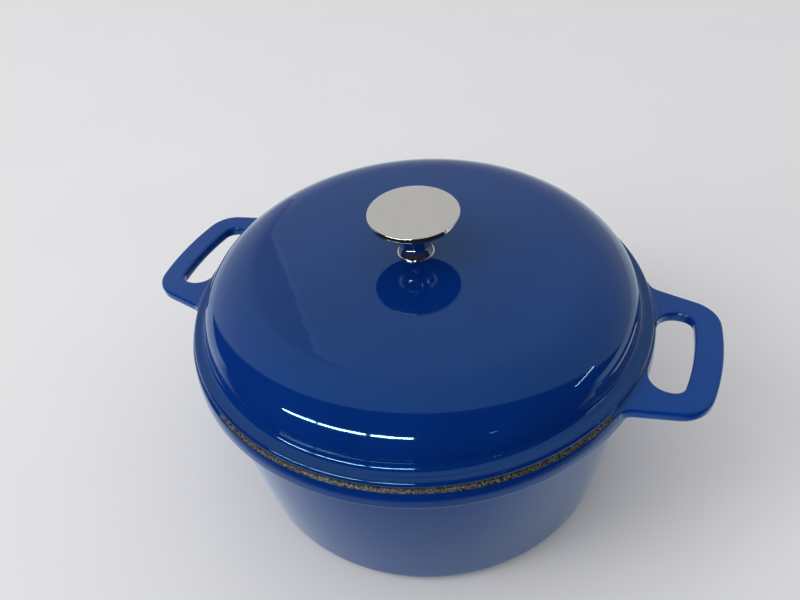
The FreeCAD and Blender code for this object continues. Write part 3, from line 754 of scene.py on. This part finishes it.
    def build_handle(self, side: Side, material: Material) -> Piece:
        """Carry the bar's section round the loop between its inner and outer lines.

        Each point is the inner line's point plus a share of the way to the outer line's, so the bar is as
        wide as the two lines are apart, with fillets into the rim band.

        Args:
            side: Which handle.
            material: Outside enamel.

        Returns:
            The piece, closed inside the rim's metal.
        """
        outer, inner = (self.loop_line(runs) for runs in self.half_loops())
        share, offset, height = self.section()
        across = outer - inner
        width = np.linalg.norm(across, axis=1, keepdims=True)
        plan = inner[:, None, :] + (across / width)[:, None, :] * (share * width + offset)[..., None]
        radius = np.linalg.norm(plan, axis=-1)
        half = self.handle_thickness / 2
        middle = self.height - self.handle_drop - half
        above = middle + half - (self.height - self.band_corner)
        below = self.height - self.band_height + self.band_corner - middle + half
        grow = np.where(height > 0, self.root_rise(radius, self.root_fillet_top, above),
                        self.root_rise(radius, self.root_fillet_under, below))
        level = middle + height * (1 + grow / half)
        turn = side.value
        grid = np.stack([plan[..., 0] * math.cos(turn) - plan[..., 1] * math.sin(turn),
                         plan[..., 0] * math.sin(turn) + plan[..., 1] * math.cos(turn), level], axis=-1)
        points, faces = skin(grid, grid[[0, -1]].mean(axis=1), flip=True)
        rounded = (height > half - self.handle_top_edge) & ((share == 0) | (share == 1))
        edge = np.where(rounded, self.edge_thinning, 0.0)
        attributes = {"edge": np.concatenate([np.tile(edge, len(grid)), [0, 0]]),
                      "pool": np.full(len(points), self.pooling)}
        surface = Surface(points, faces, np.zeros(len(faces)), attributes)
        return surface.piece(f"handle_{side.name.lower()}", [material])


@dataclass
class LidCasting:
    """The lid: flange, concave foot, crown, shoulder, low dome, lip and screw boss. Sizes in millimetres."""

    top: float
    seat: float
    flange_radius: float
    lip_bottom: float
    flange_width: float = 8.6
    flange_thickness: float = 3.8
    flange_corner: float = 2.2
    flange_foot: float = 0.8
    foot_radius: float = 4.8
    crown_edge: float = 18.0
    crown_height: float = 4.1
    shoulder_radius: float = 38.1
    dome_radius: float = 6000.0
    thickness: float = 3.8
    lip_radius: float = 127.44
    lip_corner: float = 1.0
    boss_radius: float = 12.0
    boss_thickness: float = 7.0
    seat_radius: float = 12.0
    hole_radius: float = 3.4
    edge_radius: float = 2.2
    bare_start: float = 1.4
    bare_end: float = 0.5
    segments: int = 360

    def outline(self) -> Profile:
        """Lay out the turned lid from the boss out underneath to the flange, and back over the dome.

        Dome, shoulder, crown and foot touch: their centres lie a difference or a sum of their radii apart. So
        the shoulder's centre is where two circles meet, one about the dome's centre, one about the crown's.

        Returns:
            Profile of a closed ring, in radius and height.
        """
        rim, edge, under, lip = self.flange_radius, self.flange_corner, self.flange_foot, self.lip_corner
        side, low, seat, hole = self.lip_radius, self.lip_bottom, self.seat, self.hole_radius
        boss, thick, dome = self.boss_radius, self.thickness, self.dome_radius
        inner = rim - self.flange_width - thick
        flange_top = seat + self.flange_thickness
        centre = np.array([0, self.top - math.sqrt(dome ** 2 - self.seat_radius ** 2)])
        crown = np.array([rim - self.flange_width - self.crown_edge, flange_top + self.crown_height])
        apart = crown - centre
        spread = np.linalg.norm(apart)
        from_dome, from_crown = dome - self.shoulder_radius, self.shoulder_radius - self.crown_edge
        along = (from_dome ** 2 - from_crown ** 2 + spread ** 2) / (2 * spread)
        aside = math.sqrt(from_dome ** 2 - along ** 2)
        shoulder = centre + (along * apart + aside * np.array([-apart[1], apart[0]])) / spread
        reach = self.crown_edge + self.foot_radius
        foot_turn = math.asin((flange_top + self.foot_radius - crown[1]) / reach)
        foot = crown + reach * np.array([math.cos(foot_turn), math.sin(foot_turn)])
        boss_low = self.top - self.boss_thickness
        boss_top = centre[1] + math.sqrt((dome - thick) ** 2 - boss ** 2)
        shoulder_turn, crown_turn, seat_turn, boss_turn = (math.atan2(y, x) for x, y in (
            shoulder - centre, crown - shoulder,
            (self.seat_radius, self.top) - centre, (boss, boss_top) - centre))

        drawn = Profile(Coat.INSIDE).corners([(hole, boss_low, 0), (boss, boss_low, 0), (boss, boss_top, 0)])
        drawn.arc(centre, dome - thick, boss_turn, shoulder_turn)
        drawn.arc(shoulder, self.shoulder_radius - thick, shoulder_turn, crown_turn)
        drawn.arc(crown, self.crown_edge - thick, crown_turn, 0)
        drawn.corners([(inner, crown[1], 0), (inner, low, lip), (side, low, lip), (side, seat, 0),
                       (rim - under, seat, 0)])
        drawn.coat(Coat.OUTSIDE).corners([(rim - under, seat, 0), (rim, seat, under),
                                          (rim, flange_top, edge), (foot[0], flange_top, 0)])
        drawn.arc(foot, self.foot_radius, math.pi + QUARTER_TURN, math.pi + foot_turn)
        drawn.arc(crown, self.crown_edge, foot_turn, crown_turn)
        drawn.arc(shoulder, self.shoulder_radius, crown_turn, shoulder_turn)
        drawn.arc(centre, dome, shoulder_turn, seat_turn)
        return drawn.corners([(self.seat_radius, self.top, 0), (hole, self.top, 0), (hole, boss_low, 0)])

    def build(self, materials: Sequence[Material]) -> Piece:
        """Turn the lid.

        Args:
            materials: Outside and inside enamel.

        Returns:
            The piece that stands for the lid's node.
        """
        drawn = self.outline()
        outline, slots = drawn.points(), drawn.slots()
        lip_end = self.lip_bottom + 2 * self.lip_corner
        rest = (outline[:, 0] > self.lip_radius - SAME_POINT) & (outline[:, 1] > lip_end)
        low = smooth_step(-outline[:, 1], -self.seat - self.bare_start, -self.seat - self.bare_end)
        bare = np.where(rest, low, 0.0) + (rest & (outline[:, 1] < self.seat + SAME_POINT))
        edge = edge_amount(outline, self.edge_radius, True)
        surface = turned(outline, self.segments, slots, {"bare": bare, "edge": edge}, True)
        return surface.piece("lid_casting", materials)


@dataclass
class KnobTurning:
    """The knob, a disc with a leaning side on a waisted stem, tapped from below. Sizes in millimetres."""

    top: float
    seat: float
    radius: float
    side_lean: float = 0.75
    corner_gain: float = 0.26
    top_corner: float = 0.7
    under_corner: float = 1.1
    disc: float = 3.4
    disc_slope: float = 0.3
    stem_top: float = 10.2
    stem_top_curve: float = 4.0
    waist: float = 8.1
    waist_height: float = 15.5
    waist_curve: float = 5.0
    flare: float = 8.4
    flare_height: float = 5.7
    flare_curve: float = 6.0
    ledge: float = 0.6
    ledge_curve: float = 0.3
    foot: float = 10.6
    foot_height: float = 0.8
    foot_top_corner: float = 0.35
    foot_corner: float = 0.4
    bore: float = 3.05
    bore_depth: float = 14.0
    bore_tip: float = 1.7
    segments: int = 200

    def build(self, materials: Sequence[Material]) -> Piece:
        """Turn the knob; its sharp corner would stand out past the rounded one by the corner's gain.

        Args:
            materials: Satin and polished steel.

        Returns:
            The piece that stands for the knob's node.
        """
        seat, foot = self.seat, self.foot
        disc_low = self.top - self.disc
        corner = self.radius + self.corner_gain
        outline = Profile().corners([
            (0, seat + self.bore_depth + self.bore_tip, 0), (self.bore, seat + self.bore_depth, 0),
            (self.bore, seat, 0), (foot, seat, self.foot_corner),
            (foot, seat + self.foot_height, self.foot_top_corner),
            (foot - self.ledge, seat + self.foot_height, self.ledge_curve),
            (self.flare, seat + self.flare_height, self.flare_curve),
            (self.waist, seat + self.waist_height, self.waist_curve),
            (self.stem_top, disc_low - self.disc_slope, self.stem_top_curve),
            (corner, disc_low, self.under_corner),
            (corner - self.side_lean, self.top, self.top_corner), (0, self.top, 0)]).points()
        level = outline[:, 1] > self.top - SAME_POINT
        slots = np.where(level, KnobZone.SATIN, KnobZone.POLISHED)
        surface = turned(outline, self.segments, slots, {}, False)
        return surface.piece("knob_turning", materials)


@dataclass
class Studio:
    """A white tent with one dark opening, a pale floor, tube lamps, soft lamps and the camera, in metres."""

    floor_radius: float = 4.0
    floor_rings: int = 24
    floor_segments: int = 96
    tent_colour: str = "#F1F1F2"
    tent_glow: float = 0.84
    tent_sheen: float = 0.7
    front_glow: float = 0.84
    front_sheen: float = 0.03
    side_azimuth: float = 188.0
    side_glow: float = 0.25
    side_sheen: float = 0.22
    fold_azimuth: float = 131.5
    fold_lean: float = 4.0
    fold_shade: float = 0.36
    fold_width: float = 0.14
    fold_glint: float = 0.4
    fold_line: float = 0.0028
    fold_top: Pair = (50.0, 57.0)
    opening_azimuth: float = -79.6
    opening_height: float = -38.9
    opening_reach: float = 106.2
    opening_blur: float = 1.5
    lamp_azimuth: float = -85.0
    lamp_distance: float = 2.2
    lamp_rise: float = 1.25
    lamp_width: float = 0.11
    lamp_glow: float = 66.0
    lamp_spans: tuple[Pair, ...] = ((-50.0, -34.0), (-32.5, -10.5), (-8.0, 11.0))
    streaks: tuple[tuple[float, float, float, float], ...] = (
        (9.3, 19.4, 13.0, 22.0), (-39.6, 14.8, 3.5, 14.0))
    streak_width: float = 0.025
    softboxes: tuple[tuple[float, float, float], ...] = ((220.0, 2.6, 4.5), (226.0, 0.62, 3.2))
    soft_distance: float = 2.6
    soft_size: float = 1.4
    lid_height: float = 0.15
    camera_place: tuple[float, float, float] = (0.1248, -0.2853, 0.3983)
    camera_azimuth: float = 115.808
    camera_pitch: float = -41.757
    camera_roll: float = -5.747
    camera_near: float = 0.01
    focal_pixels: float = 691.56

    @staticmethod
    def bearing(azimuth: float, height: float = 0.0) -> tuple[float, float, float]:
        """Give the direction at an azimuth and a height, both in degrees."""
        turn, rise = math.radians(azimuth), math.radians(height)
        return (math.cos(rise) * math.cos(turn), math.cos(rise) * math.sin(turn), math.sin(rise))

    def build_world(self) -> None:
        """Light the scene from a tent whose opening is a cap of directions round the opening's axis.

        The tent's glow falls off towards one side and steps down at a fold with a bright crease, which hangs
        nearly upright at one azimuth and ends at a height.
        """
        world = bpy.data.worlds.new("white_tent")
        bpy.context.scene.world = world
        world.use_nodes = True
        world.node_tree.nodes.clear()
        add = partial(add_node, world.node_tree)
        direction = add("TexCoord", output="Generated")
        glossy, seen = (add("LightPath", output=name) for name in ("Is Glossy Ray", "Is Camera Ray"))
        towards, sideways, past = (
            add("VectorMath", {0: direction, 1: self.bearing(*axis)}, "Value", operation="DOT_PRODUCT")
            for axis in ((self.opening_azimuth, self.opening_height), (self.side_azimuth,),
                         (self.fold_azimuth + 90, self.fold_lean)))
        gain, tent, front = (
            add("Mix", {0: glossy, 2: glow, 3: sheen})
            for glow, sheen in ((self.side_glow, self.side_sheen), (self.tent_glow, self.tent_sheen),
                                (self.front_glow, self.front_sheen)))
        opening = add("MapRange", {
            "Value": towards, "From Min": cosine(self.opening_reach + self.opening_blur),
            "From Max": cosine(self.opening_reach - self.opening_blur)}, interpolation_type="SMOOTHSTEP")
        side = add("Math", {0: sideways, 1: gain, 2: 1.0}, operation="MULTIPLY_ADD")
        step = add("Math", {0: past, 1: 0.0}, operation="GREATER_THAN")
        fade = add("MapRange", {
            "Value": past, "From Max": self.fold_width, "To Min": self.fold_shade, "To Max": 0.0})
        fall = add("Math", {0: step, 1: fade}, operation="MULTIPLY")
        crease = add("Math", {0: past, 1: 0.0, 2: self.fold_line}, operation="COMPARE")
        drop = add("Math", {0: crease, 1: -self.fold_glint, 2: fall}, operation="MULTIPLY_ADD")
        upwards = add("SeparateXYZ", {0: direction}, 2)
        low, high = (math.sin(math.radians(height)) for height in self.fold_top)
        hung = add("MapRange", {"Value": upwards, "From Min": high, "From Max": low})
        dip = add("Math", {0: drop, 1: hung}, operation="MULTIPLY")
        panel = add("Math", {0: side, 1: dip}, operation="SUBTRACT")
        level = add("Mix", {0: opening, 2: tent, 3: front})
        strength = add("Math", {0: level, 1: panel}, operation="MULTIPLY")
        shown = add("Mix", {0: seen, 2: strength, 3: self.tent_sheen})
        glow = add("Background", {"Color": self.tent_colour, "Strength": shown})
        add("OutputWorld", {"Surface": glow})

    def build_lamps(self) -> None:
        """Hang three tube lamps end to end in one level line, and two faint ones further round the room."""
        for number, span in enumerate(self.lamp_spans, 1):
            self.hang_tube(f"tube_lamp_{number}", self.lamp_azimuth, self.lamp_rise, span, self.lamp_width,
                           self.lamp_glow)
        for number, (azimuth, height, length, glow) in enumerate(self.streaks, 1):
            rise = self.lamp_distance * math.tan(math.radians(height))
            span = (-length / 2, length / 2)
            self.hang_tube(f"far_lamp_{number}", azimuth, rise, span, self.streak_width, glow)

    @staticmethod
    def hang(name: str, size: Pair, glow: float, place: Vector, turn: Matrix) -> Piece:
        """Hang one flat lamp.

        Args:
            name: Name of the lamp.
            size: Its length and width.
            glow: Radiance of its face.
            place: Its middle.
            turn: Rotation that brings its length, width and back from X, Y and Z.

        Returns:
            The lamp's object.
        """
        lamp = bpy.data.lights.new(name, "AREA")
        lamp.shape = "RECTANGLE"
        lamp.size, lamp.size_y = size
        lamp.energy = glow * math.pi * lamp.size * lamp.size_y
        made = bpy.data.objects.new(name, lamp)
        made.matrix_world = Matrix.Translation(place) @ turn.to_4x4()
        bpy.context.collection.objects.link(made)
        return made

    def hang_tube(self, name: str, azimuth: float, rise: float, span: Pair, width: float,
                  glow: float) -> None:
        """Hang a level tube lamp, square to an azimuth and facing the lid, that shows in gloss only.

        Args:
            name: Name of the lamp.
            azimuth: Direction from the pot, in degrees.
            rise: Height above the lid.
            span: Where it starts and ends, in degrees to either side of the azimuth.
            width: Width of the tube.
            glow: Radiance of its face.
        """
        along = Vector(self.bearing(azimuth + 90))
        first, last = (self.lamp_distance * math.tan(math.radians(angle)) for angle in span)
        facing = Vector(self.bearing(azimuth)) * self.lamp_distance + Vector((0, 0, rise))
        place = facing + along * (first + last) / 2 + Vector((0, 0, self.lid_height))
        facing.normalize()
        turn = Matrix((along, facing.cross(along), facing)).transposed()
        made = self.hang(name, (last - first, width), glow, place, turn)
        made.data.cycles.max_bounces = 0
        made.visible_diffuse = False

    def build_softboxes(self) -> None:
        """Hang a high and a low soft lamp to one side that light matt surfaces only."""
        for number, (azimuth, rise, glow) in enumerate(self.softboxes, 1):
            place = Vector(self.bearing(azimuth)) * self.soft_distance + Vector((0, 0, rise))
            turn = place.to_track_quat("Z", "Y").to_matrix()
            made = self.hang(f"softbox_{number}", (self.soft_size, self.soft_size), glow, place, turn)
            made.visible_glossy = False

    def build_floor(self) -> Piece:
        """Lay a wide round sheet level with the pot's base, in rings."""
        radius = np.linspace(self.floor_radius / self.floor_rings, self.floor_radius, self.floor_rings) / MM
        grid = rings(np.stack([radius, 0 * radius], axis=1), self.floor_segments)
        points, faces = skin(grid, [(0, 0, 0)], flip=True)
        surface = Surface(points, faces, np.zeros(len(faces)), {})
        return surface.piece("studio_floor", [MattPaper().material()])

    def build_camera(self) -> None:
        """Stand the camera where the photograph was taken, with its lens and roll."""
        view = Vector(self.bearing(self.camera_azimuth, self.camera_pitch))
        level = Vector(self.bearing(self.camera_azimuth - 90))
        turn = Matrix((level, level.cross(view), -view)).transposed().to_4x4()
        roll = Matrix.Rotation(math.radians(self.camera_roll), 4, "Z")
        camera = bpy.data.cameras.new("photo_camera")
        camera.sensor_fit = "HORIZONTAL"
        camera.lens = self.focal_pixels * camera.sensor_width / PHOTO_WIDTH
        camera.clip_start = self.camera_near
        made = bpy.data.objects.new("photo_camera", camera)
        made.matrix_world = Matrix.Translation(self.camera_place) @ turn @ roll
        bpy.context.collection.objects.link(made)
        bpy.context.scene.camera = made


def settle(piece: Piece, body: str, node: str) -> None:
    """Tie a piece to its body, hide the node it stands for, and report it."""
    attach(piece, body)
    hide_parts(node)
    LOG.info("%s: %d faces, on %s", piece.name, len(piece.data.polygons), body)


def dress_fixings(names: Sequence[str], material: Material) -> None:
    """Give the screw and washers, whose solids show as they are, their plated finish."""
    for name in names:
        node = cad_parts[name]
        node.data.materials.clear()
        node.data.materials.append(material)
        LOG.info("%s: solid kept, %s", name, material.name)


def main() -> None:
    """Build the castings, the knob and the studio in order."""
    logging.basicConfig(level=logging.INFO, format="%(name)s: %(message)s")
    _, pot_high = (np.round(np.array(corner) / MM, 2).tolist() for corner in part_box("pot"))
    lid_low, lid_high = (np.round(np.array(corner) / MM, 2).tolist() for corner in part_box("lid"))
    knob_low, knob_high = (np.round(np.array(corner) / MM, 2).tolist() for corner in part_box("knob"))
    cobalt, ivory = COBALT.material(), IVORY.material()

    pot = PotCasting(height=pot_high[2], rim_radius=pot_high[1], handle_radius=pot_high[0])
    settle(pot.build_shell([cobalt, ivory]), "pot", "pot")
    for side in Side:
        settle(pot.build_handle(side, cobalt), "pot", "pot")

    lid = LidCasting(top=lid_high[2], seat=pot.height, flange_radius=lid_high[0], lip_bottom=lid_low[2])
    settle(lid.build([cobalt, ivory]), "lid", "lid")

    knob = KnobTurning(top=knob_high[2], seat=knob_low[2], radius=knob_high[0])
    settle(knob.build([SATIN_STEEL.material(), POLISHED_STEEL.material()]), "lid", "knob")
    dress_fixings(("knob_screw", "spring_washer", "flat_washer"), PLATED_STEEL.material())

    studio = Studio()
    studio.build_floor()
    studio.build_world()
    studio.build_lamps()
    studio.build_softboxes()
    studio.build_camera()
    bpy.context.scene.view_settings.view_transform = "Standard"


if __name__ == "__main__":
    main()
